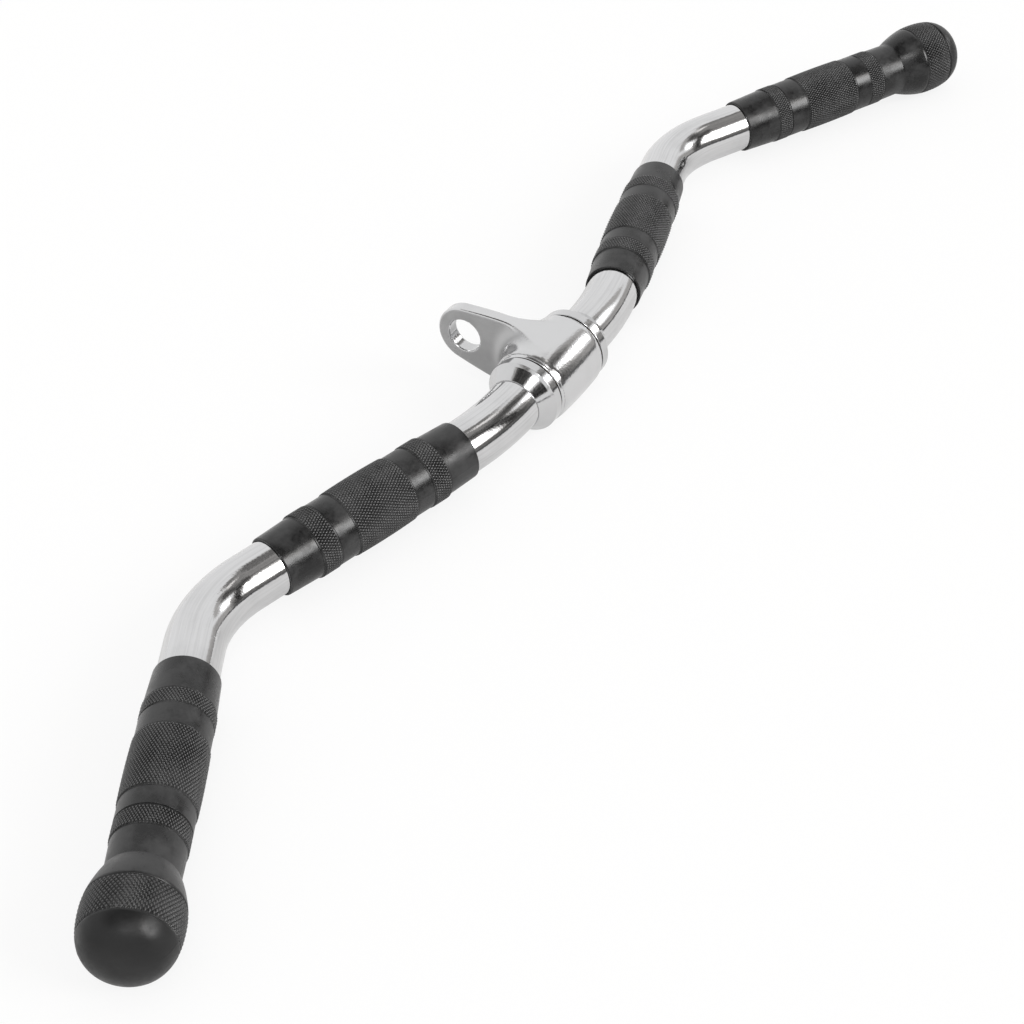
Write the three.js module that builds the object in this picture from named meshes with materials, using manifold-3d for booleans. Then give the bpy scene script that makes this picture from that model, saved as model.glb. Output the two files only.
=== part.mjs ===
// A lat pulldown bar for a cable machine: a bent solid steel bar with two grips on each side
// of the middle, and a cast hanger that turns freely on the middle of the bar between two
// collars. Millimetres, +Z up. The bar lies flat on a surface, its length along X, with the
// elbows of its bends and the hanger's lug towards +Y.

import * as THREE from 'three';
import { mergeVertices } from 'three/addons/utils/BufferGeometryUtils.js';
import Module from 'manifold-3d';

const wasm = await Module();
wasm.setup();

// Driving dimensions. Bar: one inch solid round stock, its length before it is bent.
const barDiameter = 25.4;
const barLength = 763;
const middleStraight = 67.8;
const shoulderBend = 16;
const shoulderBendRadius = 134;
const elbowBend = 45.5;
const elbowBendRadius = 54;

// Clearances between pieces that touch or run in each other.
const seatGap = 0.3;
const runningGap = 0.3;

// Inner grip, by the walls that its bands stand over the bar. Its barrel is what the bar's
// length leaves for it.
const innerGripFromBend = 0.3;
const innerGripToElbow = 13.5;
const innerLeadLength = 16.7;
const innerRingLength = 10.2;
const innerRecessLength = 9.4;
const innerLipWall = 1.15;
const innerLeadWall = 1.8;
const innerRingWall = 2.6;
const innerRecessWall = 2.2;
const innerBarrelWall = 2.75;
const innerBarrelCrown = 0.35;

// Outer grip, which ends in a ball that keeps the hand from slipping off. Its barrel is as long
// as the inner one.
const outerGripFromElbow = 20.3;
const outerLeadLength = 18.6;
const outerFirstRingLength = 8.7;
const outerFirstRecessLength = 10.9;
const outerSecondRecessLength = 9;
const outerSecondRingLength = 9.5;
const outerNeckLength = 13.2;
const flareLength = 18.8;
const domeLength = 22.6;
const outerLipWall = 1.15;
const outerLeadWall = 1.9;
const outerFirstRingWall = 2.35;
const outerRecessWall = 2.1;
const outerBarrelWall = 2.6;
const outerBarrelCrown = 0.25;
const outerSecondRingWall = 2.15;
const outerNeckWall = 1.65;
const outerNeckEndWall = 1.35;
const ballDiameter = 38.8;
const ballEndWall = 17;

// Both grips: the rounding of the mouth and the run of each small step between bands.
const mouthRound = 0.45;
const bandStep = 0.4;

// Swivel hanger: a barrel hub on bushes, and a lug with the eye for a snap hook.
const hubLength = 37.5;
const hubDiameter = 38.6;
const hubCrown = 0.6;
const hubEdgeRound = 1;
const hubBoreGap = 0.6;
const eyeDistance = 44.8;
const eyeDiameter = 17;
const eyeEdgeRound = 0.85;
const lugThickness = 7;
const lugEndDiameter = 29.2;
const lugEdgeRound = 1.4;
const lugFillet = 12;
const lugSideInset = 0.2;
const lugSideTurn = 12;
const lugRestAngle = 12.9;

// Flanged bush pressed into each end of the hub. Its flange takes a share of the room that the
// hub has round the bar.
const bushLength = 11.5;
const bushWall = 1.5;
const bushFlangeWallShare = 0.6;
const bushFlangeThickness = 1.5;
const bushProud = 0.2;
const bushChamfer = 0.6;

// Collar on each side of the hub, held by a grub screw.
const collarDiameter = 36.3;
const collarBandLength = 6.05;
const collarEdgeRound = 0.45;
const collarShoulder = 1.1;
const collarShoulderRun = 1.3;
const collarNoseLength = 5.7;
const collarNoseWall = 0.55;
const collarScrewDiameter = 4;
const collarScrewSocket = 2;
const collarScrewSocketDepth = 2;
const collarScrewSink = 0.35;
const collarScrewAngle = 50;

// How far a cutting shape reaches past what it cuts.
const cutOverrun = 2;

// Facets: sides of every round piece, turn of the bar between two rings, and steps on curves.
const sides = 30;
const ringTurn = 5.7;
const roundSteps = 2;
const crownSteps = 4;
const flareSteps = 5;
const domeSteps = 8;
const filletSteps = 6;
const lugSteps = 6;
const screwSides = 16;

// The form of the ball: how full its flare and its dome are, 1 and 2 being a cone and an ellipse.
const flareFullness = 1.7;
const domeFullness = 2.8;

// Worked out from the driving dimensions: both barrels of a side share what the bands and the
// bends leave of half the bar.
const radians = THREE.MathUtils.degToRad;
const barRadius = barDiameter / 2;
const boreRadius = barRadius + seatGap;
const hubRoom = hubDiameter / 2 - boreRadius;
const bushFlangeWall = hubRoom * bushFlangeWallShare;
const shoulderArc = shoulderBendRadius * radians(shoulderBend);
const elbowArc = elbowBendRadius * radians(elbowBend);
const innerBands = 2 * (innerRecessLength + innerRingLength + innerLeadLength);
const outerBands = outerLeadLength + outerFirstRingLength + outerFirstRecessLength
  + outerSecondRecessLength + outerSecondRingLength + outerNeckLength;
const ballBore = flareLength + domeLength - ballEndWall - seatGap;
const plainRuns = innerGripFromBend + innerGripToElbow + outerGripFromElbow;
const bandedRuns = innerBands + outerBands + ballBore;
const barrelLength = ((barLength - middleStraight) / 2 - shoulderArc - elbowArc - plainRuns - bandedRuns) / 2;
const innerGripLength = barrelLength + innerBands;
const outerSleeveLength = barrelLength + outerBands;
const outerGripLength = outerSleeveLength + flareLength + domeLength;
const outerBoreDepth = outerGripLength - ballEndWall;
const collarFace = hubLength / 2 + bushProud + runningGap;

// One half of the bar's axis, outwards from the middle: straights, and bends by their turn.
const halfRuns = [
  { length: middleStraight / 2, turn: 0 },
  { length: shoulderArc, turn: radians(shoulderBend) },
  { length: innerGripFromBend + innerGripLength + innerGripToElbow, turn: 0 },
  { length: elbowArc, turn: -radians(elbowBend) },
  { length: outerGripFromElbow + outerBoreDepth - seatGap, turn: 0 },
];
const shoulderEnd = middleStraight / 2 + shoulderArc;
const elbowEnd = shoulderEnd + halfRuns[2].length + elbowArc;

// The place and the heading of the bar's axis at a distance along it from the middle.
function axisAt(distance) {
  const side = Math.sign(distance) || 1;
  let left = Math.abs(distance);
  let x = 0;
  let y = 0;
  let heading = 0;
  for (const { length, turn } of halfRuns) {
    const run = Math.min(left, length);
    const swept = (turn * run) / length;
    const chord = swept === 0 ? run : run * Math.sin(swept / 2) / (swept / 2);
    x += chord * Math.cos(heading + swept / 2);
    y += chord * Math.sin(heading + swept / 2);
    heading += swept;
    left -= run;
  }
  return { place: new THREE.Vector3(side * x, y, 0), heading: side * heading };
}

// The whole axis as a curve, with rings only at the ends of straights and close together in bends.
class BarAxis extends THREE.Curve {
  constructor() {
    super();
    const half = [];
    let start = 0;
    for (const { length, turn } of halfRuns) {
      const count = Math.max(1, Math.round(Math.abs(turn) / radians(ringTurn)));
      for (let k = 1; k <= count; k += 1) half.push(start + (length * k) / count);
      start += length;
    }
    this.stations = [...half.map((distance) => -distance).reverse(), ...half];
  }

  distanceAt(share) {
    const ring = share * (this.stations.length - 1);
    const low = Math.floor(ring);
    const high = Math.min(low + 1, this.stations.length - 1);
    return THREE.MathUtils.lerp(this.stations[low], this.stations[high], ring - low);
  }

  getPointAt(share, target = new THREE.Vector3()) {
    return target.copy(axisAt(this.distanceAt(share)).place);
  }

  getTangentAt(share, target = new THREE.Vector3()) {
    const { heading } = axisAt(this.distanceAt(share));
    return target.set(Math.cos(heading), Math.sin(heading), 0);
  }
}

// Points of an arc in a profile plane, from one angle to another, both ends included.
function arc(centreX, centreY, radius, from, to, steps) {
  return Array.from({ length: steps + 1 }, (_, k) => {
    const angle = THREE.MathUtils.lerp(from, to, k / steps);
    return new THREE.Vector2(centreX + radius * Math.cos(angle), centreY + radius * Math.sin(angle));
  });
}

// A body of revolution about X from its profile of points (radius, distance along X).
function turned(profile) {
  return new THREE.LatheGeometry(profile, sides).rotateZ(-Math.PI / 2);
}

// A profile from points on its upper half, from the axis outwards, and their mirror images.
function bothWays(upper) {
  const lower = upper.map((point) => new THREE.Vector2(point.x, -point.y));
  return [...lower, ...upper.reverse()];
}

function toSolid(geometry) {
  const bare = geometry.clone();
  bare.deleteAttribute('normal');
  bare.deleteAttribute('uv');
  const merged = mergeVertices(bare);
  return new wasm.Manifold(new wasm.Mesh({
    numProp: 3,
    vertProperties: merged.attributes.position.array,
    triVerts: Uint32Array.from(merged.index.array),
  }));
}

function toGeometry(solid) {
  const mesh = solid.getMesh();
  const geometry = new THREE.BufferGeometry();
  geometry.setAttribute('position', new THREE.BufferAttribute(mesh.vertProperties, 3));
  geometry.setIndex(new THREE.BufferAttribute(mesh.triVerts, 1));
  geometry.computeVertexNormals();
  return geometry;
}

// The outer profile of a grip's bands, with a short slope at each step from band to band.
function bandProfile(bands, endInset) {
  const points = [];
  let start = 0;
  bands.forEach(({ length, wall, endWall = wall, crown = 0 }, index) => {
    const low = start + (index === 0 ? mouthRound : bandStep / 2);
    const high = start + length - (index === bands.length - 1 ? endInset : bandStep / 2);
    const steps = crown === 0 ? 1 : crownSteps;
    for (let k = 0; k <= steps; k += 1) {
      const share = k / steps;
      const rise = crown * (1 - (2 * share - 1) ** 2);
      const radius = barRadius + THREE.MathUtils.lerp(wall, endWall, share) + rise;
      points.push(new THREE.Vector2(radius, THREE.MathUtils.lerp(low, high, share)));
    }
    start += length;
  });
  return points;
}

// The rounded mouth of a grip, from its bore to its outside.
function mouthProfile(wall) {
  const rounded = arc(barRadius + wall - mouthRound, mouthRound, mouthRound, -Math.PI / 2, 0, roundSteps);
  return [new THREE.Vector2(boreRadius, 0), ...rounded.slice(0, -1)];
}

// Materials, one for each mesh, with the colour and the finish of the real surface.
function finish(color, metalness, roughness) {
  return new THREE.MeshStandardMaterial({ color, metalness, roughness });
}
const chrome = () => finish('#d1d1d2', 1, 0.12);
const castChrome = () => finish('#cecfcf', 1, 0.2);
const bronze = () => finish('#a9813f', 1, 0.4);
const blackSteel = () => finish('#2a2a2c', 0.8, 0.5);
const rubber = () => finish('#2b2b2c', 0, 0.6);

function piece(name, geometry, material) {
  const mesh = new THREE.Mesh(geometry, material);
  mesh.name = name;
  return mesh;
}

// Sets a turned piece on the bar, its mouth at a distance from the middle and its axis outwards.
function setOnBar(mesh, side, distance) {
  const { place, heading } = axisAt(side * distance);
  mesh.position.copy(place);
  mesh.rotation.z = side > 0 ? heading : heading + Math.PI;
  return mesh;
}

// Bent bar: one round section swept along the axis.
function bentBar() {
  const axis = new BarAxis();
  const section = new THREE.Shape(arc(0, 0, barRadius, 0, 2 * Math.PI, sides).slice(0, -1));
  const geometry = new THREE.ExtrudeGeometry(section, {
    steps: axis.stations.length - 1,
    extrudePath: axis,
  });
  return piece('bent_bar', geometry, chrome());
}

// Inner grip: a moulded sleeve, the same from both ends, with a knurled barrel and two rings.
function innerGrip(name) {
  const ring = { length: innerRingLength, wall: innerRingWall };
  const recess = { length: innerRecessLength, wall: innerRecessWall };
  const bands = bandProfile([
    { length: innerLeadLength, wall: innerLipWall, endWall: innerLeadWall },
    ring,
    recess,
    { length: barrelLength, wall: innerBarrelWall, crown: innerBarrelCrown },
    recess,
    ring,
    { length: innerLeadLength, wall: innerLeadWall, endWall: innerLipWall },
  ], mouthRound);
  const mouth = mouthProfile(innerLipWall);
  const farMouth = mouth.map((point) => new THREE.Vector2(point.x, innerGripLength - point.y)).reverse();
  return piece(name, turned([...mouth, ...bands, ...farMouth, mouth[0]]), rubber());
}

// Outer grip: a moulded sleeve closed by the ball, over the end of the bar.
function outerGrip(name) {
  const bands = bandProfile([
    { length: outerLeadLength, wall: outerLipWall, endWall: outerLeadWall },
    { length: outerFirstRingLength, wall: outerFirstRingWall },
    { length: outerFirstRecessLength, wall: outerRecessWall },
    { length: barrelLength, wall: outerBarrelWall, crown: outerBarrelCrown },
    { length: outerSecondRecessLength, wall: outerRecessWall },
    { length: outerSecondRingLength, wall: outerSecondRingWall },
    { length: outerNeckLength, wall: outerNeckWall, endWall: outerNeckEndWall },
  ], 0);
  const neckRadius = barRadius + outerNeckEndWall;
  const ballRadius = ballDiameter / 2;
  const flare = [];
  for (let k = 1; k <= flareSteps; k += 1) {
    const share = k / flareSteps;
    const radius = neckRadius + (ballRadius - neckRadius) * (1 - (1 - share) ** flareFullness);
    flare.push(new THREE.Vector2(radius, outerSleeveLength + flareLength * share));
  }
  const dome = [];
  for (let k = 1; k < domeSteps; k += 1) {
    const turn = (Math.PI / 2) * (k / domeSteps);
    const radius = ballRadius * Math.cos(turn) ** (2 / domeFullness);
    const along = domeLength * Math.sin(turn) ** (2 / domeFullness);
    dome.push(new THREE.Vector2(radius, outerSleeveLength + flareLength + along));
  }
  const profile = [
    new THREE.Vector2(0, outerBoreDepth),
    new THREE.Vector2(boreRadius, outerBoreDepth),
    ...mouthProfile(outerLipWall),
    ...bands,
    ...flare,
    ...dome,
    new THREE.Vector2(0, outerGripLength),
  ];
  return piece(name, turned(profile), rubber());
}

// The lug seen along the bar: round about the eye, its sides easing out to the width of the hub.
function lugOutline() {
  const side = hubDiameter / 2 - lugSideInset;
  const endRadius = lugEndDiameter / 2;
  const turn = radians(lugSideTurn);
  const touchX = eyeDistance + endRadius * Math.sin(turn);
  const touchY = endRadius * Math.cos(turn);
  const bendX = touchX - (side - touchY) / Math.tan(turn);
  const outline = new THREE.Shape();
  outline.moveTo(0, -side);
  outline.quadraticCurveTo(bendX, -side, touchX, -touchY);
  outline.absarc(eyeDistance, 0, endRadius, turn - Math.PI / 2, Math.PI / 2 - turn, false);
  outline.quadraticCurveTo(bendX, side, 0, side);
  return outline;
}

// A shape drawn with X away from the hub, extruded evenly to both sides of the bar's middle.
function lugExtrusion(shape, thickness, edgeRound) {
  const depth = thickness - 2 * edgeRound;
  const geometry = new THREE.ExtrudeGeometry(shape, {
    depth,
    curveSegments: lugSteps,
    bevelEnabled: edgeRound > 0,
    bevelThickness: edgeRound,
    bevelSize: edgeRound,
    bevelOffset: -edgeRound,
    bevelSegments: roundSteps,
  });
  const stand = new THREE.Matrix4().makeBasis(
    new THREE.Vector3(0, 1, 0),
    new THREE.Vector3(0, 0, 1),
    new THREE.Vector3(1, 0, 0),
  );
  return toSolid(geometry.translate(0, 0, -depth / 2).applyMatrix4(stand));
}

// The room that the lug swells into: a disc as thick as the lug, with a fillet round the hub.
function lugSwell() {
  const hubRadius = hubDiameter / 2;
  const half = lugThickness / 2;
  const reach = hubRadius + lugFillet + cutOverrun;
  const centre = [hubRadius + lugFillet, half + lugFillet];
  const fillet = arc(...centre, lugFillet, Math.PI, 1.5 * Math.PI, filletSteps);
  const upper = [new THREE.Vector2(0, half + lugFillet), ...fillet, new THREE.Vector2(reach, half)];
  return toSolid(turned(bothWays(upper)));
}

// The eye's cutter, which flares at both faces of the lug into a rounded edge.
function eyeCutter() {
  const half = lugThickness / 2;
  const eyeRadius = eyeDiameter / 2;
  const centre = [eyeRadius + eyeEdgeRound, half - eyeEdgeRound];
  const edge = arc(...centre, eyeEdgeRound, Math.PI / 2, Math.PI, roundSteps);
  const mouth = eyeRadius + eyeEdgeRound;
  const upper = [
    new THREE.Vector2(0, half + cutOverrun),
    new THREE.Vector2(mouth, half + cutOverrun),
    ...edge,
  ];
  return toSolid(turned(bothWays(upper)).translate(0, eyeDistance, 0));
}

// The hub's outside, a slightly barrelled drum with rounded ends.
function hubDrum() {
  const hubRadius = hubDiameter / 2;
  const half = hubLength / 2;
  const endRadius = hubRadius - hubCrown;
  const straight = half - hubEdgeRound;
  const corner = arc(endRadius - hubEdgeRound, straight, hubEdgeRound, Math.PI / 2, 0, roundSteps);
  const upper = [new THREE.Vector2(0, half), ...corner];
  for (let k = crownSteps - 1; k >= 0; k -= 1) {
    const share = k / crownSteps;
    upper.push(new THREE.Vector2(hubRadius - hubCrown * share ** 2, straight * share));
  }
  return toSolid(turned(bothWays(upper)));
}

// What is bored out of the hub: a bore clear of the bar, wider at each end down to the shoulder
// that a bush is pressed against, and a counterbore for its flange.
function hubBore() {
  const seatRadius = boreRadius + bushWall + seatGap;
  const flangeRadius = boreRadius + bushFlangeWall + seatGap;
  const mouth = hubLength / 2 + cutOverrun;
  const flangeSeat = hubLength / 2 + bushProud - bushFlangeThickness - seatGap;
  const shoulder = hubLength / 2 + bushProud - bushLength - seatGap;
  const upper = [
    new THREE.Vector2(0, mouth),
    new THREE.Vector2(flangeRadius, mouth),
    new THREE.Vector2(flangeRadius, flangeSeat),
    new THREE.Vector2(seatRadius, flangeSeat),
    new THREE.Vector2(seatRadius, shoulder),
    new THREE.Vector2(barRadius + hubBoreGap, shoulder),
  ];
  return toSolid(turned(bothWays(upper)));
}

// Swivel hanger: one chromed casting, the hub with the lug and its eye.
function swivelHanger() {
  const plate = lugExtrusion(lugOutline(), lugThickness, lugEdgeRound);
  const swell = lugExtrusion(lugOutline(), lugThickness + 2 * lugFillet, 0).intersect(lugSwell());
  const casting = hubDrum().add(plate).add(swell).subtract(hubBore()).subtract(eyeCutter());
  return piece('swivel_hanger', toGeometry(casting), castChrome());
}

// Flanged bush: its sleeve sits in the hub and its flange takes the thrust of the collar.
function bush(name, side) {
  const face = hubLength / 2 + bushProud;
  const back = face - bushFlangeThickness;
  const tip = face - bushLength;
  const sleeveRadius = boreRadius + bushWall;
  const flangeRadius = boreRadius + bushFlangeWall;
  const profile = [
    new THREE.Vector2(boreRadius, tip),
    new THREE.Vector2(sleeveRadius - bushChamfer, tip),
    new THREE.Vector2(sleeveRadius, tip + bushChamfer),
    new THREE.Vector2(sleeveRadius, back),
    new THREE.Vector2(flangeRadius, back),
    new THREE.Vector2(flangeRadius, face),
    new THREE.Vector2(boreRadius, face),
  ];
  const mesh = piece(name, turned([...profile, profile[0]]), bronze());
  mesh.rotation.z = side > 0 ? 0 : Math.PI;
  return mesh;
}

// A shape that stands on the collar's band, out from the bar on its lower side towards the elbows.
function acrossCollar(geometry, side) {
  const along = side * (collarFace + collarBandLength / 2);
  return geometry.rotateX(-radians(collarScrewAngle)).translate(along, 0, 0);
}

// Collar: a plain band beside the hub, then a cone down to the bar.
function collar(name, side) {
  const radius = collarDiameter / 2;
  const noseRadius = boreRadius + collarNoseWall;
  const shoulderRadius = radius - collarShoulder;
  const bandEnd = collarFace + collarBandLength;
  const faceEdge = [radius - collarEdgeRound, collarFace + collarEdgeRound];
  const profile = [
    new THREE.Vector2(boreRadius, collarFace),
    ...arc(...faceEdge, collarEdgeRound, -Math.PI / 2, 0, roundSteps),
    new THREE.Vector2(radius, bandEnd - collarShoulderRun),
    new THREE.Vector2(shoulderRadius, bandEnd),
    new THREE.Vector2(noseRadius, bandEnd + collarNoseLength),
    new THREE.Vector2(boreRadius, bandEnd + collarNoseLength),
  ];
  const body = turned([...profile, profile[0]]).rotateZ(side > 0 ? 0 : Math.PI);
  const holeRadius = collarScrewDiameter / 2 + seatGap;
  const reach = radius + cutOverrun;
  const hole = new THREE.CylinderGeometry(holeRadius, holeRadius, reach, screwSides);
  const cut = toSolid(body).subtract(toSolid(acrossCollar(hole.translate(0, reach / 2, 0), side)));
  return piece(name, toGeometry(cut), chrome());
}

// Grub screw of a collar, with a hexagon socket, sunk under the band and down on the bar.
function collarScrew(name, side) {
  const low = barRadius + seatGap;
  const high = collarDiameter / 2 - collarScrewSink;
  const radius = collarScrewDiameter / 2;
  const body = new THREE.CylinderGeometry(radius, radius, high - low, screwSides);
  const across = collarScrewSocket / 2 / Math.cos(Math.PI / 6);
  const depth = collarScrewSocketDepth + cutOverrun;
  const socket = new THREE.CylinderGeometry(across, across, depth, 6);
  const screw = toSolid(body.translate(0, (high + low) / 2, 0))
    .subtract(toSolid(socket.translate(0, high - collarScrewSocketDepth + depth / 2, 0)));
  return piece(name, acrossCollar(toGeometry(screw), side), blackSteel());
}

// The bar with all that is fixed to it, and the hanger turned to the angle that it rests at.
const barWithGrips = new THREE.Group();
const hanger = new THREE.Group();
barWithGrips.add(bentBar());
hanger.add(swivelHanger());
for (const [name, side] of [['left', -1], ['right', 1]]) {
  const innerStart = shoulderEnd + innerGripFromBend;
  const outerStart = elbowEnd + outerGripFromElbow;
  barWithGrips.add(
    collar(`collar_${name}`, side),
    collarScrew(`collar_screw_${name}`, side),
    setOnBar(innerGrip(`inner_grip_${name}`), side, innerStart),
    setOnBar(outerGrip(`outer_grip_${name}`), side, outerStart),
  );
  hanger.add(bush(`bush_${name}`, side));
}
hanger.rotation.x = radians(lugRestAngle);

// The origin is on the surface that the bar lies on, under the middle of its bounding box.
const pulldownBar = new THREE.Group();
pulldownBar.add(barWithGrips, hanger);
const box = new THREE.Box3().setFromObject(pulldownBar, true);
const middle = box.getCenter(new THREE.Vector3());
pulldownBar.position.set(-middle.x, -middle.y, -box.min.z);

export default pulldownBar;
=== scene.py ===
import math

import bpy
import numpy as np
from mathutils import Matrix, Vector


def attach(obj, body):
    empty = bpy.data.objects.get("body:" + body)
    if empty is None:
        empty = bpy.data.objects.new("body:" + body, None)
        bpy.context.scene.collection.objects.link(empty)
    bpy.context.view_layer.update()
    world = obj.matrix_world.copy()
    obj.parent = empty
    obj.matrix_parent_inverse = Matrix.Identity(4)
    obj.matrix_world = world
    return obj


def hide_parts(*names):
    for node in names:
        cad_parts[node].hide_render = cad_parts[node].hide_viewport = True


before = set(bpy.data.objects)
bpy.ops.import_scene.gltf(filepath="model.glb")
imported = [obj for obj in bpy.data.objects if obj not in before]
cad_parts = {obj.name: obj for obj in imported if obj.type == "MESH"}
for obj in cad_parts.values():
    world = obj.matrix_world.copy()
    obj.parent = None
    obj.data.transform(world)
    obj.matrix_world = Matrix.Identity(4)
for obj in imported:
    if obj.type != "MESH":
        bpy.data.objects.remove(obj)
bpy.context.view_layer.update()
mm = 0.001

# ---- Camera -------------------------------------------------------------------------------
# It stands above the bar's left end, on the side away from the lug, and looks along the bar
# through a long lens.
camera_place = Vector((-662.3, -448.92, 550.5)) * mm
camera_right = Vector((0.5145, -0.8504, -0.1102)).normalized()
camera_back = camera_right.cross(Vector((0.5678, 0.2416, 0.7869))).normalized()
camera_up = camera_back.cross(camera_right)
lens = bpy.data.cameras.new("lens")
lens.sensor_width = 36
lens.lens = 72.17
camera = bpy.data.objects.new("camera", lens)
bpy.context.scene.collection.objects.link(camera)
turn = Matrix((camera_right, camera_up, camera_back)).transposed().to_4x4()
camera.matrix_world = Matrix.Translation(camera_place) @ turn
bpy.context.scene.camera = camera
bpy.context.scene.view_settings.view_transform = "Standard"


# ---- Studio -------------------------------------------------------------------------------
# White walls all round, and in front a dark part of the room with three soft boxes in it, which
# give the chrome its streaks. To the camera the walls are white.
class Value:
    """A socket of a shader, which takes part in arithmetic by adding Math nodes."""

    def __init__(self, finish, node, output):
        self.finish, self.node = finish, node
        self.socket = node.outputs[output] if node.outputs else None

    def out(self, output):
        return Value(self.finish, self.node, output)

    def maths(self, operation, *terms):
        return self.finish.add("ShaderNodeMath", {"operation": operation}, dict(enumerate(terms)))

    def __add__(self, other):
        return self.maths("ADD", self, other)

    __radd__ = __add__

    def __sub__(self, other):
        return self.maths("SUBTRACT", self, other)

    def __rsub__(self, other):
        return self.maths("SUBTRACT", other, self)

    def __mul__(self, other):
        return self.maths("MULTIPLY", self, other)

    __rmul__ = __mul__

    def between(self, low, high, blur):
        """1 from low to high, easing to 0 over the blur outside them."""
        return self.step(low - blur, low + blur) * (1 - self.step(high - blur, high + blur))

    def step(self, low, high):
        settings = {"interpolation_type": "SMOOTHSTEP"}
        return self.finish.add("ShaderNodeMapRange", settings, {"Value": self, 1: low, 2: high})


class Finish:
    """The nodes of one material, or of the studio's walls."""

    def __init__(self, tree):
        self.tree = tree
        tree.nodes.clear()

    def add(self, kind, settings=None, inputs=None, output=0):
        node = self.tree.nodes.new(kind)
        for name, value in (settings or {}).items():
            setattr(node, name, value)
        for name, value in (inputs or {}).items():
            if isinstance(value, Value):
                self.tree.links.new(value.socket, node.inputs[name])
            else:
                node.inputs[name].default_value = value
        return Value(self, node, output)

    def colour_mix(self, share, *colours):
        first, second = ((*c, 1) if isinstance(c, tuple) else c for c in colours)
        inputs = {0: share, 6: first, 7: second}
        return self.add("ShaderNodeMix", {"data_type": "RGBA"}, inputs, 2)

    def noise(self, place, scale, detail, roughness):
        inputs = {"Vector": place, "Scale": scale, "Detail": detail, "Roughness": roughness}
        return self.add("ShaderNodeTexNoise", inputs=inputs)


wall_light = 1.04
gloom_light = 0.12
box_light = 14.0
mottle_light, mottle_share = 1.1, 0.3
room_colour = (1.0, 0.975, 0.95)
wall_colour = (1.0, 1.0, 1.0)
world = bpy.data.worlds.new("studio")
bpy.context.scene.world = world
world.use_nodes = True
walls = Finish(world.node_tree)
towards = walls.add("ShaderNodeTexCoord", output="Generated")
parts = walls.add("ShaderNodeSeparateXYZ", inputs={0: towards})
rise = parts.out("Z").maths("ARCSINE", parts.out("Z")) * math.degrees(1)
bearing = parts.maths("ARCTAN2", parts.out("Y"), parts.out("X")) * math.degrees(1)


def hang(level, *panels):
    """Panels in front of one another, each from one bearing and rise to another, with the blur
    of its edges in degrees and its light."""
    for left, right, low, high, blur, light in panels:
        cover = bearing.between(left, right, blur) * rise.between(low, high, blur)
        level = level + cover * (light - level)
    return level


# The dark part of the room, from the ceiling down to the floor's far edge.
dark = hang(
    wall_light,
    (-200, 200, 62.5, 100, 3, 0.19),
    (104, 200, 55, 100, 6, 0.07),
    (-200, -147, 57, 100, 5, 0.07),
    (-125, -24, 45, 64, 4, 0.33),
    (-24, -6, 53, 64, 3, 0.28),
    (-125, -19.5, 33, 48, 2, 0.34),
    (-104, -10, -13, 12, 3, 0.5),
    (-104, -46, -13, 13, 3, 0.2),
    (-28, -18, 20, 40, 2, 0.58),
    (-62, -28, 36, 47, 3, 0.13),
    (-68, -50, 40, 51, 3, 0.12),
    (-50, -43, 8, 24, 3, 0.3),
    (-62, -50, 3, 41, 3, 0.09),
    (-124, -99, 9, 38, 3, 0.06),
    (122, 172, -3, 8, 2, 0.3),
)
mottle = walls.noise(towards, 24, 6, 0.8).step(0.34, 0.66) - 0.5
dark = dark + mottle * (mottle_light - dark) * mottle_share

# The soft boxes, each with a paler rim, and a slit of light between the dark panels.
mirrored = hang(
    dark,
    (-34, -24, 50, 58, 2, 1.2),
    (-97, -62, 10, 37, 2.5, 1.4),
    (-97, -71, 30, 44, 2.5, 1.4),
    (-94, -66, 15, 34, 3, box_light),
    (-94, -75, 30, 40, 3, box_light),
    (-45, -29, 13, 32, 2, 1.3),
    (-42, -33, 19, 27, 2.5, box_light),
    (-150, -120, 40, 61, 3, 1.4),
    (-144, -124, 46, 56, 3, box_light),
)
tint = walls.colour_mix(dark.step(1.0, 0.5), wall_colour, room_colour)
path = walls.add("ShaderNodeLightPath", output="Is Camera Ray")
strength = mirrored + path.out("Is Diffuse Ray") * (wall_light - mirrored)
plain = walls.add("ShaderNodeBackground", inputs={"Color": (1, 1, 1, 1), "Strength": 1})
lit = walls.add("ShaderNodeBackground", inputs={"Color": tint, "Strength": strength})
shown = walls.add("ShaderNodeMixShader", inputs={0: path, 1: lit, 2: plain})
walls.add("ShaderNodeOutputWorld", inputs={"Surface": shown})

# ---- Floor --------------------------------------------------------------------------------
# A white sweep under the bar. It keeps a soft shadow, and metal shows it as white as the
# camera does, but for its edge on the dark side of the room.
floor_size = 12.0
floor_colour = (0.67, 0.67, 0.67, 1)
floor_white = 0.85
floor_mirrored_white = 0.3
sweep_edge = (-250 * mm, -130 * mm)
sweep_side = (-260 * mm, -110 * mm)
floor_mesh = bpy.data.meshes.new("floor")
reach = floor_size / 2
corners = [(-reach, -reach, 0), (reach, -reach, 0), (reach, reach, 0), (-reach, reach, 0)]
floor_mesh.from_pydata(corners, [], [(0, 1, 2, 3)])
floor = bpy.data.objects.new("floor", floor_mesh)
bpy.context.scene.collection.objects.link(floor)


def new_material(name):
    material = bpy.data.materials.new(name)
    material.use_nodes = True
    return material, Finish(material.node_tree)


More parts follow.
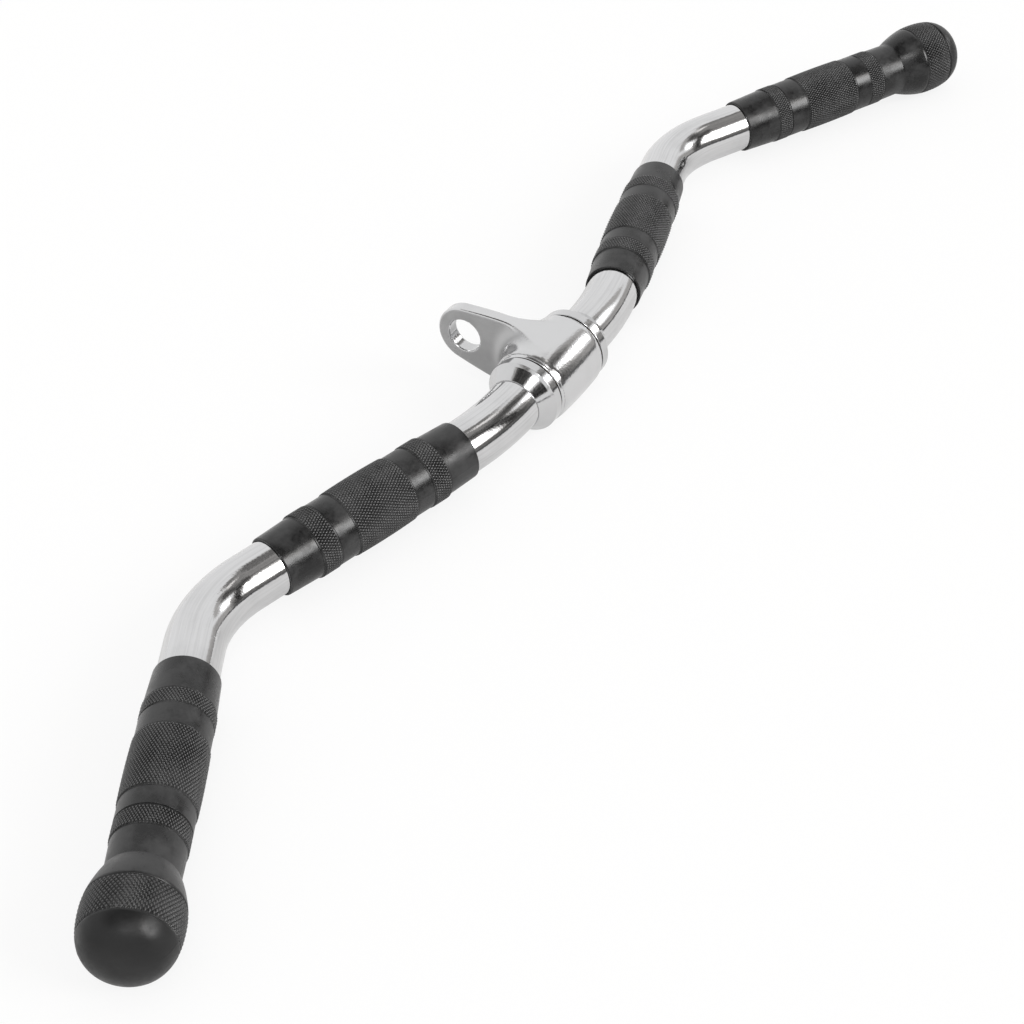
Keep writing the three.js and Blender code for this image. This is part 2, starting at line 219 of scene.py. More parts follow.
floor_material, sweep = new_material("white_sweep")
ray = sweep.add("ShaderNodeLightPath", output="Is Camera Ray")
in_mirror = ray.maths("MAXIMUM", ray.out("Is Glossy Ray"), ray.out("Is Transmission Ray"))
place = sweep.add("ShaderNodeTexCoord", output="Object")
across = sweep.add("ShaderNodeSeparateXYZ", inputs={0: place}, output="Y")
beyond = (1 - across.step(*sweep_edge)) * across.out("X").step(*sweep_side)
mirrored_white = floor_mirrored_white + beyond * (1 - floor_mirrored_white)
seen_white = ray * floor_white + in_mirror * mirrored_white
glow_level = ray.maths("MAXIMUM", ray, 1 - beyond * (1 - gloom_light))
glow = sweep.add("ShaderNodeEmission", inputs={"Color": (1, 1, 1, 1), "Strength": glow_level})
matt = sweep.add("ShaderNodeBsdfDiffuse", inputs={"Color": floor_colour})
both = sweep.add("ShaderNodeMixShader", inputs={0: seen_white, 1: matt, 2: glow})
sweep.add("ShaderNodeOutputMaterial", inputs={"Surface": both})
floor_mesh.materials.append(floor_material)

# ---- Bent bar -----------------------------------------------------------------------------
# One inch solid steel bar, bent cold at two shoulders beside the hanger and at two elbows,
# polished and chrome plated. Both ends are hidden in the outer grips.
bar_radius = 12.7 * mm
bar_height = 19.4 * mm
bar_setback = 0.279 * mm
shoulder_bend, shoulder_bend_radius = math.radians(16), 134 * mm
elbow_bend, elbow_bend_radius = math.radians(45.5), 54 * mm
# Length of each run from the middle out, and how far it bends.
half_runs = (
    (33.9 * mm, 0),
    (shoulder_bend_radius * shoulder_bend, shoulder_bend),
    (119.7 * mm, 0),
    (elbow_bend_radius * elbow_bend, -elbow_bend),
    (147.6 * mm, 0),
)
bar_columns = 128
bar_ring_gap = 1.5 * mm
mirror = np.array((-1, 1, 1))


def axis_at(distance):
    """Place and heading of the bar's axis, at a distance to the right of its middle."""
    x, y, heading, to_go = 0.0, bar_setback, 0.0, distance
    for length, bend in half_runs:
        run = min(to_go, length)
        swept = bend * run / length
        chord = run * np.sinc(swept / 2 / math.pi)
        x += chord * math.cos(heading + swept / 2)
        y += chord * math.sin(heading + swept / 2)
        heading += swept
        to_go -= run
    return np.array((x, y, bar_height)), heading


def rings_round(places, headings, radii, columns):
    """A ring of points round each place, square to its heading, the first point to the left."""
    around = np.linspace(0, 2 * math.pi, columns, endpoint=False)
    headings = np.asarray(headings)[:, None]
    side = np.stack((-np.sin(headings), np.cos(headings), 0 * headings), -1)
    spoke = side * np.cos(around)[None, :, None] + np.array((0, 0, 1)) * np.sin(around)[:, None]
    return np.asarray(places)[:, None] + spoke * np.asarray(radii)[:, None, None]


def skin_faces(rows, columns, closed=False):
    """Quads between each ring and the next, and a cap on both ends or none."""
    i = np.arange(columns)
    faces = []
    for row in range(rows if closed else rows - 1):
        low, high = row * columns, (row + 1) % rows * columns
        after = (i + 1) % columns
        faces += np.stack((low + i, low + after, high + after, high + i), 1).tolist()
    if not closed:
        faces += [i[::-1].tolist(), ((rows - 1) * columns + i).tolist()]
    return faces


def make_piece(
    name, points, faces, material, body, node, slot, crease=None, normals=None, marks=None
):
    """A piece that stands for a node. It is shaded by the area of the faces round each point,
    but flat at the creases, and its marks tell the material about each point."""
    mesh = bpy.data.meshes.new(name)
    mesh.from_pydata(np.reshape(points, (-1, 3)).tolist(), [], faces)
    mesh.materials.append(material)
    count, corners = len(mesh.polygons), len(mesh.loops)
    face_normals, areas = np.empty(count * 3), np.empty(count)
    vertex, sizes = np.empty(corners, int), np.empty(count, int)
    mesh.polygons.foreach_get("normal", face_normals)
    mesh.polygons.foreach_get("area", areas)
    mesh.polygons.foreach_get("loop_total", sizes)
    mesh.loops.foreach_get("vertex_index", vertex)
    face_normals = face_normals.reshape(-1, 3)
    owner = np.repeat(np.arange(count), sizes)
    crease = np.zeros(len(mesh.vertices), bool) if crease is None else crease
    if normals is None:
        normals = np.zeros((len(mesh.vertices), 3))
        np.add.at(normals, vertex, (face_normals * areas[:, None])[owner])
        normals /= np.linalg.norm(normals, axis=1, keepdims=True) + 1e-30
    shading = np.where(crease[vertex][:, None], face_normals[owner], normals[vertex])
    mesh.polygons.foreach_set("use_smooth", np.ones(count, bool))
    mesh.normals_split_custom_set(shading.tolist())
    for mark, values in (marks or {}).items():
        kind, field = ("FLOAT", "value") if np.ndim(values) == 1 else ("FLOAT_VECTOR", "vector")
        mesh.attributes.new(mark, kind, "POINT").data.foreach_set(field, np.ravel(values))
    piece = bpy.data.objects.new(name, mesh)
    bpy.context.scene.collection.objects.link(piece)
    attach(piece, body)
    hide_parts(node)
    return piece


def chrome(name, colour, roughness, grain, ripple, drawn=0, matt=0):
    """Chrome plate: grain is how far polishing marks roughen it, ripple the depth of its waves.
    The marks drawn and matt tell where it has streaks along the bar and where it is duller;
    where matt is marked its colour is also darkened, as painted shade."""
    material, plate = new_material(name)
    place = plate.add("ShaderNodeTexCoord", output="Object")
    smudge = plate.noise(place, 38, 4, 0.6).step(0.42, 0.72)
    speckle = plate.noise(place, 1000, 2, 0.6)
    waves = plate.noise(place, 260, 3, 0.6)
    broad = plate.noise(place, 55, 2, 0.5)
    height = broad * 2.0 + waves * 0.8 + speckle * 1.6
    rough = roughness + smudge * (grain * 0.6) + speckle * grain
    shade = smudge * 0.08
    if drawn:
        along = plate.add("ShaderNodeAttribute", {"attribute_name": "drawn"}, output="Vector")
        stretch = {0: along, 1: (22, 1100, 1100)}
        lengthwise = plate.add("ShaderNodeVectorMath", {"operation": "MULTIPLY"}, stretch)
        streak = plate.noise(lengthwise, 1, 3, 0.6)
        height = height + streak * drawn
        shade = shade + streak.step(0.35, 0.75) * 0.12
    if matt:
        dull_and_painted_shade = plate.add("ShaderNodeAttribute", {"attribute_name": "matt"}, output="Fac")
        rough = rough + dull_and_painted_shade * matt
        # Painted shade: the colour is darkened where matt is marked.
        shade = shade + dull_and_painted_shade * 0.37
    shader = plate.add("ShaderNodeBsdfPrincipled", inputs={
        "Base Color": plate.colour_mix(shade, colour, (0, 0, 0)),
        "Metallic": 1,
        "Roughness": rough,
        "Normal": plate.add("ShaderNodeBump", inputs={
            "Height": height, "Distance": ripple, "Strength": 1,
        }),
    })
    plate.add("ShaderNodeOutputMaterial", inputs={"Surface": shader})
    return material


chrome_colour = (0.64, 0.64, 0.645)
bar_chrome = chrome("bar_chrome", chrome_colour, 0.03, 0.045, 0.015 * mm, drawn=0.65)
half_length = sum(length for length, _ in half_runs)
stations = np.linspace(0, half_length, round(half_length / bar_ring_gap))
half = [axis_at(station) for station in stations]
places = [place * mirror for place, _ in half[:0:-1]] + [place for place, _ in half]
headings = [-heading for _, heading in half[:0:-1]] + [heading for _, heading in half]
tube = rings_round(places, headings, [bar_radius] * len(places), bar_columns)
faces = skin_faces(len(places), bar_columns)
section = rings_round(np.zeros((1, 3)), [0], [bar_radius], bar_columns)[0]
drawn = np.tile(section, (len(places), 1, 1))
drawn[..., 0] = np.concatenate((-stations[:0:-1], stations))[:, None]
make_piece("bar_tube", tube, faces, bar_chrome, "bar", "bent_bar", "bar_chrome",
           marks={"drawn": drawn.reshape(-1, 3)})

# ---- Grips --------------------------------------------------------------------------------
# Hard black rubber, moulded round the bar. Barrel, rings and the ball's band carry a knurl of
# small raised diamonds, longer along the bar than round it. The rest is smooth and satin.
# Distances and radii of a profile are in millimetres.
knurl_diamonds = 68
knurl_length = 2.38 * mm
knurl_depth = 0.46 * mm
knurl_shoulder = 0.1 * mm
seam_height = 0.07 * mm
grip_columns = 4 * knurl_diamonds
band_gap, groove_depth = 0.16, 0.22
mouth_round, step_round, groove_round = 0.45, 0.12, 0.05
bore, barrel_length = 12.72, 33.3
# Painted highlight on the knurl, against its peaks: how much the diamonds' flanks and the ball get
flank_highlight, ball_highlight = 0.5, 0.88
inner_mouth = 71.62 * mm
outer_mouth = 254.2 * mm


def eased(corners, steps=5):
    """A profile from corners (distance, radius, rounding), with an arc at each rounded one."""
    points = []
    for index, (x, y, size) in enumerate(corners):
        corner = np.array((x, y))
        if size == 0 or index in (0, len(corners) - 1):
            points.append(corner)
            continue
        back = np.array(corners[index - 1][:2]) - corner
        ahead = np.array(corners[index + 1][:2]) - corner
        back_length, ahead_length = np.linalg.norm(back), np.linalg.norm(ahead)
        back, ahead = back / back_length, ahead / ahead_length
        half_angle = math.acos(np.clip(back @ ahead, -1, 1)) / 2
        reach = min(size / math.tan(half_angle), back_length * 0.5, ahead_length * 0.5)
        radius = reach * math.tan(half_angle)
        middle = back + ahead
        centre = corner + middle / np.linalg.norm(middle) * (radius / math.sin(half_angle))
        start, end = corner + back * reach - centre, corner + ahead * reach - centre
        angle = math.acos(np.clip(start @ end / radius**2, -1, 1))
        for share in np.linspace(0, 1, steps):
            blend = start * math.sin((1 - share) * angle) + end * math.sin(share * angle)
            points.append(centre + blend / math.sin(angle))
    return points


def crowned(start, length, radius, crown):
    """The outline of a knurled band, which is thickest in its middle."""
    return lambda x: radius + crown * (1 - (2 * (x - start) / length - 1) ** 2)


def knurl_rows(start, end, outline):
    """Rows of a knurled band: (distance, radius of its peaks), four to the length of a diamond."""
    count = 4 * max(1, round((end - start) * mm / knurl_length))
    along = np.linspace(start, end, count + 1)
    return [(x, outline(x)) for x in along]


def grip_rows(bands, outline_end):
    """All rows of a grip's outside: (distance, radius, is it in a knurled band)."""
    rows, corners = [], [(0, bore, 0), (0, bands[0][1], mouth_round)]
    start = 0.0
    for length, low, high, crown, knurled in bands:
        end = start + length
        if knurled:
            valley = low - knurl_depth / mm
            corners.append((start, min(corners[-1][1], valley) - groove_depth, groove_round))
            rows += [(x, r, False) for x, r in eased(corners)]
            outline = crowned(start, length, low, crown)
            knurl = knurl_rows(start + band_gap, end - band_gap, outline)
            rows += [(x, r, True) for x, r in knurl]
            corners = [(end - band_gap / 2, valley - 0.02, 0)]
            corners.append((end, valley - groove_depth, groove_round))
        else:
            if start > 0:
                corners.append((start + band_gap, low, step_round))
            if end < outline_end:
                corners.append((end - band_gap, high, step_round))
            else:
                corners.append((end, high, mouth_round))
        start = end
    return rows, corners


def knurl_cells(steps):
    """For the points of a knurled band: the middles of its diamonds, and its grooves."""
    row, column = np.arange(steps)[:, None], np.arange(grip_columns)[None, :]
    even = (row + column) % 2 == 0
    middle = even & (row % 2 == 0) & ((row + column) % 4 == 2)
    middle[[0, -1]] = False
    groove = even & ~middle
    groove[[0, -1]] = True
    return middle, groove


def grip_faces(rough, peaks, band_edges, closed):
    """Quads between the rows. In the knurled bands they are split into triangles, so that every
    groove and every flank of a diamond runs along edges."""
    count = len(rough)
    column = np.arange(grip_columns)
    after = (column + 1) % grip_columns
    faces = []
    for row in range(count if closed else count - 1):
        next_row = (row + 1) % count
        low, high = row * grip_columns, next_row * grip_columns
        a, b, c, d = low + column, low + after, high + after, high + column
        if rough[row] and rough[next_row]:
            steps_in = row - band_edges[band_edges <= row][-1]
            beside_peak = peaks[a] | peaks[b] | peaks[c] | peaks[d]
            split = ((column + steps_in) % 2 == 0) ^ beside_peak
            one = np.where(split[:, None], np.stack((a, b, c), 1), np.stack((a, b, d), 1))
            two = np.where(split[:, None], np.stack((a, c, d), 1), np.stack((b, c, d), 1))
            faces += one.tolist() + two.tolist()
        else:
            faces += np.stack((a, b, c, d), 1).tolist()
    if not closed:
        faces += [column[::-1].tolist(), ((count - 1) * grip_columns + column).tolist()]
    return faces


def make_pair(name, points, faces, material, body, node, slot, **shading):
    """A piece on the right half of the bar, and its mirror image on the left."""
    flipped = [face[::-1] for face in faces]
    sides = (("right", points, faces), ("left", points * mirror, flipped))
    return [
        make_piece(f"{name}_{side}", skin, order, material, body, f"{node}_{side}", slot,
                   **shading)
        for side, skin, order in sides
    ]


def lay_grip(name, rows, closed, mouth, material, node, ball_start=1, dome_start=1):
    """Turns the rows into a grip on each half of the bar. Its mark is a painted highlight: 1 on
    the peaks of the knurl, less on their flanks and on the ball, and -1 on the duller dome."""
    place, heading = axis_at(mouth)
    ahead = np.array((math.cos(heading), math.sin(heading), 0))
    along = np.array([row[0] for row in rows]) * mm
    radii = np.array([row[1] for row in rows]) * mm
    rough = np.array([row[2] for row in rows])
    centres = place + along[:, None] * ahead
    raised = np.tile(radii[:, None], grip_columns)
    middle, groove = np.zeros((2, len(rows), grip_columns), bool)
    edges = np.flatnonzero(np.diff(np.concatenate(([0], rough, [0]))))
    for start, end in edges.reshape(-1, 2):
        middle[start:end], groove[start:end] = knurl_cells(end - start)
    raised -= groove * knurl_depth + (rough[:, None] & ~middle & ~groove) * knurl_shoulder
    for column in (0, grip_columns // 2):
        raised[~rough & (radii > bar_radius + mm), column] += seam_height
    # Painted highlight: the knurl's peaks are painted lighter, less on the ball; -1 marks the
    # dome.
    painted_highlight_and_dome = np.where(middle, 1.0, np.where(rough[:, None] & ~groove, flank_highlight, 0.0))
    painted_highlight_and_dome *= np.where(along > ball_start, ball_highlight, 1)[:, None]
    painted_highlight_and_dome -= (along[:, None] > dome_start) & ~rough[:, None]
    skin = rings_round(centres, [heading] * len(rows), 0 * radii + 1, grip_columns)
    skin = centres[:, None] + (skin - centres[:, None]) * raised[:, :, None]
    faces = grip_faces(rough, middle.ravel(), edges, closed)
    make_pair(name, skin, faces, material, "bar", node, "grip_rubber",
              crease=groove.ravel(), marks={"painted_highlight_and_dome": painted_highlight_and_dome.ravel()})


rubber_colour = (0.003, 0.003, 0.0032)
bloom_colour = (0.026, 0.026, 0.0265)
# The colour of the painted highlight on the knurl's peaks.
highlight_colour = (0.14, 0.14, 0.142)
rubber, moulded = new_material("grip_rubber")
place = moulded.add("ShaderNodeTexCoord", output="Object")
bloom = moulded.noise(place, 70, 6, 0.7).step(0.38, 0.68)
grain = moulded.noise(place, 2600, 2, 0.6)
flow = moulded.noise(place, 160, 3, 0.6)
painted_highlight_and_dome = moulded.add("ShaderNodeAttribute", {"attribute_name": "painted_highlight_and_dome"}, output="Fac")
satin_and_painted_shade = 1 - (painted_highlight_and_dome + 1).step(0, 1)
bump = moulded.add("ShaderNodeBump", inputs={
    "Height": grain * 0.4 + flow * 1.3, "Distance": 0.05 * mm, "Strength": 1,
})
# No pale bloom on the dome, so its colour is painted darker there: painted shade.
bare = moulded.colour_mix(bloom * (1 - satin_and_painted_shade), rubber_colour, bloom_colour)
# The knurl's peaks are mixed towards the painted highlight colour.
shader = moulded.add("ShaderNodeBsdfPrincipled", inputs={
    "Base Color": moulded.colour_mix(painted_highlight_and_dome * painted_highlight_and_dome * painted_highlight_and_dome, bare, highlight_colour),
    "Roughness": 0.22 + bloom * 0.2 + grain * 0.06 + satin_and_painted_shade * 0.08,
    "Specular IOR Level": 0.38,
    "Normal": bump,
})
moulded.add("ShaderNodeOutputMaterial", inputs={"Surface": shader})

# Length, radius at both ends, crown, and whether the band is knurled.
inner_bands = (
    (16.7, 13.85, 14.5, 0, False),
    (10.2, 15.3, 15.3, 0, True),
    (9.4, 14.9, 14.9, 0, False),
    (barrel_length, 15.45, 15.45, 0.35, True),
    (9.4, 14.9, 14.9, 0, False),
    (10.2, 15.3, 15.3, 0, True),
    (16.7, 14.5, 13.85, 0, False),
)
inner_length = sum(band[0] for band in inner_bands)
rows, corners = grip_rows(inner_bands, inner_length)
corners.append((inner_length, bore, 0))
rows += [(x, r, False) for x, r in eased(corners)]
lay_grip("inner_sleeve", rows, True, inner_mouth, rubber, "inner_grip")

# The outer grips are closed by a ball that keeps the hand on: the sleeve flares out from a
# sharp corner, a knurled band runs round the widest part, and the end is a smooth dome.
outer_bands = (
    (18.6, 13.85, 14.6, 0, False),
    (8.7, 15.05, 15.05, 0, True),
    (10.9, 14.8, 14.8, 0, False),
    (barrel_length, 15.3, 15.3, 0.25, True),
    (9.0, 14.8, 14.8, 0, False),
    (9.5, 14.85, 14.85, 0, True),
    (13.2, 14.35, 14.05, 0, False),
)
flare_length, dome_length = 18.8, 22.5
ball_radius, neck_radius = 19.2, 14.05
flare_power, dome_power = 1.7, 2.8
band_start, band_end = 14.1, 29.6
band_room, groove_side, groove_drop = 0.3, 0.05, 0.5
bore_depth = 127.6
sleeve_length = sum(band[0] for band in outer_bands)


def ball_outline(distance):
    """Radius of the ball at a distance from the corner that its flare starts at."""
    if distance < flare_length:
        flare = 1 - (1 - distance / flare_length) ** flare_power
        return neck_radius + (ball_radius - neck_radius) * flare
    share = (distance - flare_length) / dome_length
    return ball_radius * (1 - share**dome_power) ** (1 / dome_power)


rows, corners = grip_rows(outer_bands, sleeve_length + 1)
corners[-1] = (sleeve_length, neck_radius, 0)
rows = [(bore_depth, 0.4, False), (bore_depth, bore, False)] + rows
rows += [(x, r, False) for x, r in eased(corners)]
for distance in np.linspace(0, band_start - band_room, 14)[1:]:
    rows.append((sleeve_length + distance, ball_outline(distance), False))
bottom = ball_outline(band_start) - groove_drop
rows.append((sleeve_length + band_start - groove_side, bottom, False))
knurled = knurl_rows(band_start, band_end, lambda x: ball_outline(x) + 0.02)
rows += [(sleeve_length + x, r, True) for x, r in knurled]
bottom = ball_outline(band_end) - groove_drop
rows.append((sleeve_length + band_end + groove_side, bottom, False))
first_share = (band_end + band_room - flare_length) / dome_length
first_turn = math.asin(first_share ** (dome_power / 2))
for angle in np.linspace(first_turn, math.pi / 2, 30)[:-1]:
    distance = dome_length * math.sin(angle) ** (2 / dome_power)
    radius = ball_radius * math.cos(angle) ** (2 / dome_power)
    rows.append((sleeve_length + flare_length + distance, radius, False))
rows.append((sleeve_length + flare_length + dome_length, 0.5, False))
lay_grip("outer_sleeve", rows, False, outer_mouth, rubber, "outer_grip",
         ball_start=sleeve_length * mm, dome_start=(sleeve_length + band_end) * mm)

# ---- Hanger -------------------------------------------------------------------------------
# One casting, polished and chrome plated: a barrel hub that turns on the bar, and a flat lug
# with an eye for the cable's hook. The lug swells in wide fillets to nearly the hub's length.
# It has a little end play, and lies nearer to the far collar. Its sizes are in millimetres.
hub_half, hub_radius, hub_crown, hub_round = 18.7, 19.3, 0.6, 0.45
lug_half, lug_edge, lug_fillet = 3.5, 1.4, 12.0
eye_distance, eye_radius, eye_edge = 44.8, 8.5, 0.85
lug_end, lug_taper = 14.59, 0.00222
rim_start, rim_drop = 17.3, 0.25
shoulder_start, hub_shoulder = 14.5, 0.3
bore_radius = 13.3
seat_radius, seat_depth = 14.8, 7.15
flange_radius, flange_depth = 17.08, 17.15
side_blend, side_blend_growth = 1.5, 0.2
rest_angle, hub_slide = math.radians(12.9), 0.35
net_low, net_high, net_cell = (-20.3, -21.3, -20.8), (20.8, 62.3, 20.8), 0.5


def round_join(a, b, size):
    """Two solids as one, with a concave fillet where they meet."""
    corner = np.hypot(np.maximum(size - a, 0), np.maximum(size - b, 0))
    return np.maximum(size, np.minimum(a, b)) - corner


def round_meet(a, b, size):
    """What two solids share, with a rounded edge."""
    corner = np.hypot(np.maximum(size + a, 0), np.maximum(size + b, 0))
    return np.minimum(-size, np.maximum(a, b)) + corner


def soft_join(a, b, size):
    """Two solids as one, easing from one to the other where they run nearly side by side."""
    nearness = np.maximum(size - np.abs(a - b), 0) / np.maximum(size, 1e-9)
    return np.minimum(a, b) - nearness**2 * size / 4


def hanger_depth(points):
    """Distance of points outside the casting's surface: along the bar, out to the eye, and up."""
    x, out, up = np.abs(points[..., 0]), points[..., 1], np.abs(points[..., 2])
    from_axis = np.hypot(out, up)
    drum_radius = hub_radius - hub_crown * (np.minimum(x, hub_half) / hub_half) ** 2
    past_shoulder = np.maximum(x - shoulder_start, 0) / (rim_start - shoulder_start)
    drum_radius -= hub_shoulder * past_shoulder**2
    drum = from_axis - drum_radius
    body = round_join(drum, x - lug_half, lug_fillet)
    slope = 2 * lug_taper * out
    side = (up - (drum_radius - lug_taper * out**2)) / np.sqrt(1 + slope**2)
    end = np.hypot(out - eye_distance, up) - lug_end
    tangent = math.atan(2 * lug_taper * eye_distance)
    round_end = (out - eye_distance) * math.cos(tangent) - up * math.sin(tangent) > 0
    outline = np.where(round_end, end, np.where(out > 0, side, drum))
    swell = round_meet(body, outline, lug_edge)
    solid = soft_join(drum, swell, np.clip(out * side_blend_growth, 0, side_blend))
    solid = np.maximum(solid, np.minimum(x - rim_start, from_axis - drum_radius + rim_drop))
    solid = round_meet(solid, x - hub_half, hub_round)
    eye = eye_radius - np.hypot(out - eye_distance, up)
    solid = round_meet(solid, eye, eye_edge)
    bored = np.where(x > seat_depth, seat_radius, bore_radius)
    bored = np.where(x > flange_depth, flange_radius, bored)
    return np.maximum(solid, bored - from_axis)


def net_over(depth, low, high, cell):
    """Points and quads on the surface where depth is 0, one point in each grid cell it crosses."""
    axes = [np.arange(a, b, cell) for a, b in zip(low, high)]
    grid = np.stack(np.meshgrid(*axes, indexing="ij"), -1)
    inside = depth(grid) < 0
    corners = sum(
        inside[i : i - 1 or None, j : j - 1 or None, k : k - 1 or None].astype(int)
        for i in (0, 1) for j in (0, 1) for k in (0, 1)
    )
    crossed = (corners > 0) & (corners < 8)
    number = np.full(crossed.shape, -1)
    number[crossed] = np.arange(crossed.sum())
    points = grid[:-1, :-1, :-1][crossed] + cell / 2
    faces = []
    for axis in range(3):
        start = np.moveaxis(inside, axis, 0)
        change = start[1:, 1:-1, 1:-1].astype(int) - start[:-1, 1:-1, 1:-1]
        cells = np.moveaxis(number, axis, 0)
        one, two = cells[:, :-1], cells[:, 1:]
        quad = np.stack((one[..., :-1], two[..., :-1], two[..., 1:], one[..., 1:]), -1)
        way = -1 if axis == 1 else 1
        faces.append(quad[change < 0][:, ::way])
        faces.append(quad[change > 0][:, ::-way])
    return points, np.concatenate(faces)


def slope_of(depth, points, reach=0.01):
    """Direction in which depth grows."""
    steps = np.eye(3) * reach
    slope = np.stack([depth(points + step) - depth(points - step) for step in steps], -1)
    return slope / (2 * reach)


def settle(depth, points, times):
    """Moves points onto the surface."""
    for _ in range(times):
        slope = slope_of(depth, points)
        length = np.sum(slope**2, -1, keepdims=True) + 1e-9
        points = points - slope / length * np.clip(depth(points), -0.3, 0.3)[:, None]
    return points


points, faces = net_over(hanger_depth, net_low, net_high, net_cell)
points = settle(hanger_depth, points, 6)
for _ in range(6):
    total, count = np.zeros_like(points), np.zeros(len(points))
    for k in range(4):
        np.add.at(total, faces[:, k], points[faces[:, (k + 1) % 4]] + points[faces[:, k - 1]])
        np.add.at(count, faces[:, k], 2)
    points = settle(hanger_depth, points * 0.5 + total / count[:, None] * 0.5, 2)
points = settle(hanger_depth, points, 4)
normals = slope_of(hanger_depth, points)
normals /= np.linalg.norm(normals, axis=1, keepdims=True)
lean = np.array((
    (1, 0, 0),
    (0, math.cos(rest_angle), -math.sin(rest_angle)),
    (0, math.sin(rest_angle), math.cos(rest_angle)),
))
hub_centre = np.array((hub_slide * mm, bar_setback, bar_height))
cast_chrome = chrome("cast_chrome", (0.62, 0.62, 0.625), 0.05, 0.09, 0.03 * mm, matt=0.3)

# The polishing wheel misses the fillets and the flat faces of the lug, which stay duller.
# The same mask also darkens their colour: painted shade.
from_axis, facing = np.hypot(points[:, 1], points[:, 2]), np.abs(normals[:, 0])
off_hub = np.clip((from_axis - 18.5) / 4, 0, 1)
off_fillet = np.clip((from_axis - 23) / 4, 0, 1)
in_fillet, on_lug = np.clip(1.6 * facing, 0, 1), np.clip((facing - 0.75) * 4, 0, 1)
matt = off_hub * (in_fillet + off_fillet * (on_lug - in_fillet))
placed = points @ lean.T * mm + hub_centre
make_piece("hanger_casting", placed, faces.tolist(), cast_chrome, "hanger", "swivel_hanger",
           "cast_chrome", normals=normals @ lean.T, marks={"matt": matt})

# ---- Bushes -------------------------------------------------------------------------------
# Turned bronze, dark with oil: pressed into both ends of the hub, which they carry on the bar.
# Their flanges take the thrust against the collars, and the gap beside them looks black.
hub_columns = 160


def turned(name, corners, material, body, node, slot):
    """A ring turned to a closed profile round the middle of the bar, and its mirror image."""
    profile = np.array(eased(corners)) * mm
    centres = np.tile((0, bar_setback, bar_height), (len(profile), 1))
    centres[:, 0] = profile[:, 0]
    skin = rings_round(centres, [0] * len(profile), profile[:, 1], hub_columns)
    faces = skin_faces(len(profile), hub_columns, closed=True)
    return make_pair(name, skin, faces, material, body, node, slot)


bronze, cut = new_material("bush_bronze")
place = cut.add("ShaderNodeTexCoord", output="Object")
oil = cut.noise(place, 300, 4, 0.6).step(0.3, 0.62)
across = cut.add("ShaderNodeSeparateXYZ", inputs={0: place}, output="X")
turning = cut.add("ShaderNodeTexNoise", {"noise_dimensions": "1D"}, {"W": across, "Scale": 9000})
shader = cut.add("ShaderNodeBsdfPrincipled", inputs={
    "Base Color": cut.colour_mix(oil, (0.3, 0.19, 0.08), (0.05, 0.038, 0.025)),
    "Metallic": 0.9,
    "Roughness": 0.3 + oil * 0.25,
    "Normal": cut.add("ShaderNodeBump", inputs={"Height": turning, "Distance": 0.01 * mm}),
})
cut.add("ShaderNodeOutputMaterial", inputs={"Surface": shader})
turned("flanged_bush", (
    (7.3, 13.0, 0),
    (7.3, 14.48, 0.4),
    (17.0, 14.48, 0.1),
    (17.15, 14.2, 0.1),
    (17.3, 14.48, 0.1),
    (17.3, 16.3, 0.2),
    (18.7, 16.3, 0.3),
    (18.7, 13.0, 0),
), bronze, "hanger", "bush", "bush_bronze")

# ---- Collars ------------------------------------------------------------------------------
# Turned steel, chrome plated: a plain band beside the hub and a cone down to the bar. Each is
# drilled on the side away from the camera for its screw.
collar_face = 19.45
screw_place, screw_dip = 22.275, math.radians(50)
screw_hole, hole_start, hole_end, hole_columns = 2.1, 12.0, 19.0, 48
sharp_angle = math.radians(50)
collar_chrome = chrome("collar_chrome", (0.58, 0.58, 0.585), 0.045, 0.07, 0.018 * mm)
collars = turned("stop_collar", (
    (collar_face, 12.75, 0),
    (collar_face, 18.15, 0.3),
    (24.0, 18.15, 0.12),
    (25.3, 17.05, 0.12),
    (31.0, 13.1, 0.12),
    (31.0, 12.75, 0),
), collar_chrome, "bar", "collar", "collar_chrome")


def spun(rows, columns, foot, axis):
    """Rings round an axis square to the bar: rows of a height and a radius."""
    turn = np.linspace(0, 2 * math.pi, columns, endpoint=False)[:, None]
    first = np.array((1.0, 0, 0))
    spoke = np.cos(turn) * first + np.sin(turn) * np.cross(axis, first)
    return np.array([
        foot + (height * axis + np.reshape(radius, (-1, 1)) * spoke) * mm
        for height, radius in rows
    ])


def finished_mesh(piece):
    """The piece's mesh as its modifiers leave it. They are taken off the piece."""
    bpy.context.view_layer.update()
    shaped = piece.evaluated_get(bpy.context.evaluated_depsgraph_get())
    mesh = bpy.data.meshes.new_from_object(shaped)
    piece.modifiers.clear()
    return mesh


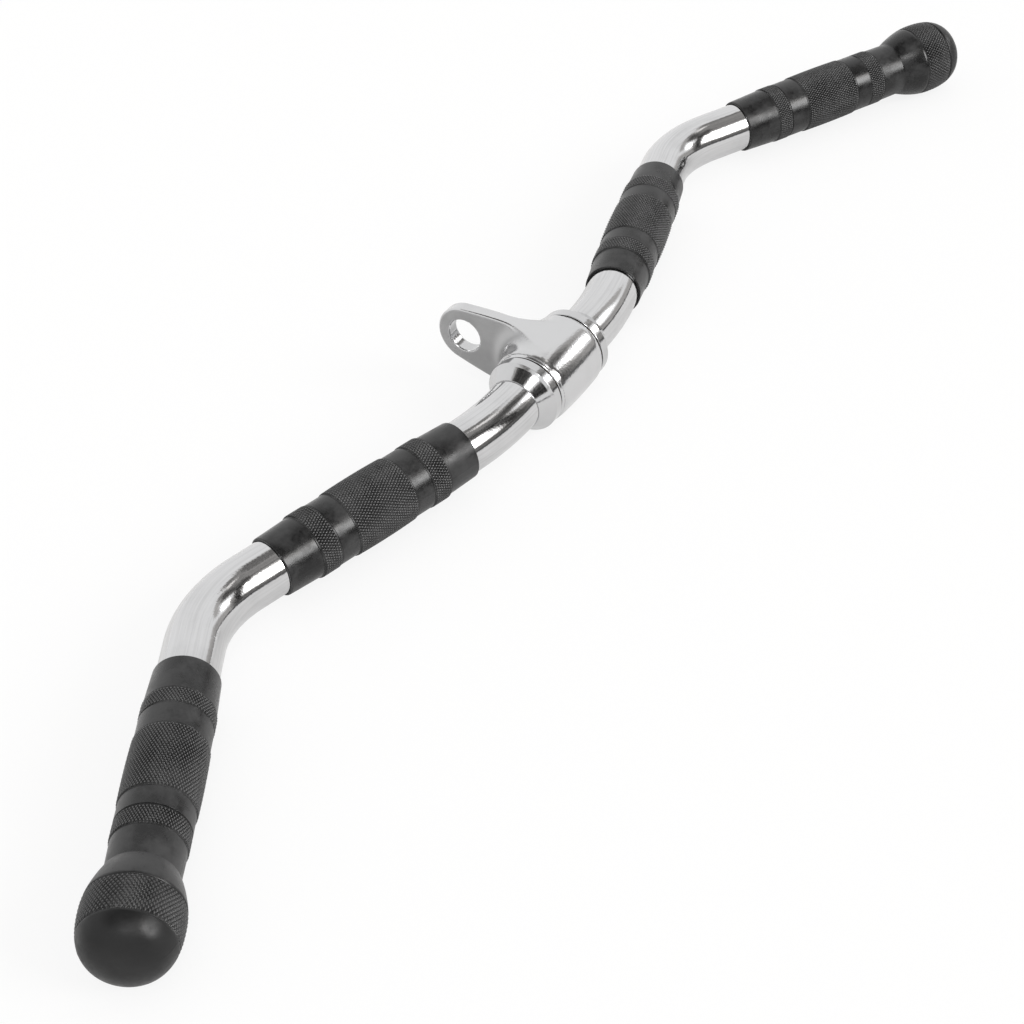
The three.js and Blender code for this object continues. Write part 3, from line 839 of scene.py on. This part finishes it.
def drill(piece, points, faces):
    """Takes a solid out of a piece, and shades what is left by the area of its faces."""
    mesh = bpy.data.meshes.new("drill")
    mesh.from_pydata(np.reshape(points, (-1, 3)).tolist(), [], faces)
    tool = bpy.data.objects.new("drill", mesh)
    bpy.context.scene.collection.objects.link(tool)
    cut = piece.modifiers.new("cut", "BOOLEAN")
    cut.operation, cut.solver, cut.object = "DIFFERENCE", "EXACT", tool
    piece.data = finished_mesh(piece)
    bpy.data.objects.remove(tool)
    piece.data.set_sharp_from_angle(angle=sharp_angle)
    weighted = piece.modifiers.new("weighted", "WEIGHTED_NORMAL")
    weighted.keep_sharp = True
    piece.data = finished_mesh(piece)


screw_axis = np.array((0, math.cos(screw_dip), -math.sin(screw_dip)))
for piece, side in zip(collars, (1, -1)):
    foot = np.array((side * screw_place * mm, bar_setback, bar_height))
    ends = ((hole_start, screw_hole), (hole_end, screw_hole))
    drill(piece, spun(ends, hole_columns, foot, screw_axis), skin_faces(2, hole_columns))

# ---- Collar screws ------------------------------------------------------------------------
# Black grub screws with a hexagon socket and a flat point, one through each collar.
black, oxide = new_material("screw_steel")
place = oxide.add("ShaderNodeTexCoord", output="Object")
rubbed = oxide.noise(place, 700, 4, 0.65).step(0.5, 0.75)
shader = oxide.add("ShaderNodeBsdfPrincipled", inputs={
    "Base Color": oxide.colour_mix(rubbed, (0.02, 0.02, 0.022), (0.12, 0.12, 0.125)),
    "Metallic": 0.8,
    "Roughness": 0.38 - rubbed * 0.1,
    "Normal": oxide.add("ShaderNodeBump", inputs={"Height": rubbed, "Distance": 0.01 * mm}),
})
oxide.add("ShaderNodeOutputMaterial", inputs={"Surface": shader})
screw_columns = 60
thread_radius, thread_depth = 1.97, 0.22
thread = [
    (height, thread_radius - thread_depth * (step % 2))
    for step, height in enumerate(np.arange(13.4, 17.4, 0.25))
]
sixth = np.linspace(0, 2 * math.pi, screw_columns, endpoint=False) % (math.pi / 3) - math.pi / 6
socket = 1.0 / np.cos(sixth)
rows = [(13.05, 0.05), (13.05, 1.5), *thread, (17.55, thread_radius), (17.8, 1.72)]
rows += [(17.8, socket * 1.1), (17.68, socket), (15.9, socket), (15.6, 0.1 * socket)]
faces = skin_faces(len(rows), screw_columns)
crease = np.repeat(np.arange(len(rows)) >= len(rows) - 4, screw_columns)
for side, word in ((1, "right"), (-1, "left")):
    foot = np.array((side * screw_place * mm, bar_setback, bar_height))
    make_piece(f"grub_screw_{word}", spun(rows, screw_columns, foot, screw_axis), faces, black,
               "bar", f"collar_screw_{word}", "screw_steel", crease=crease)
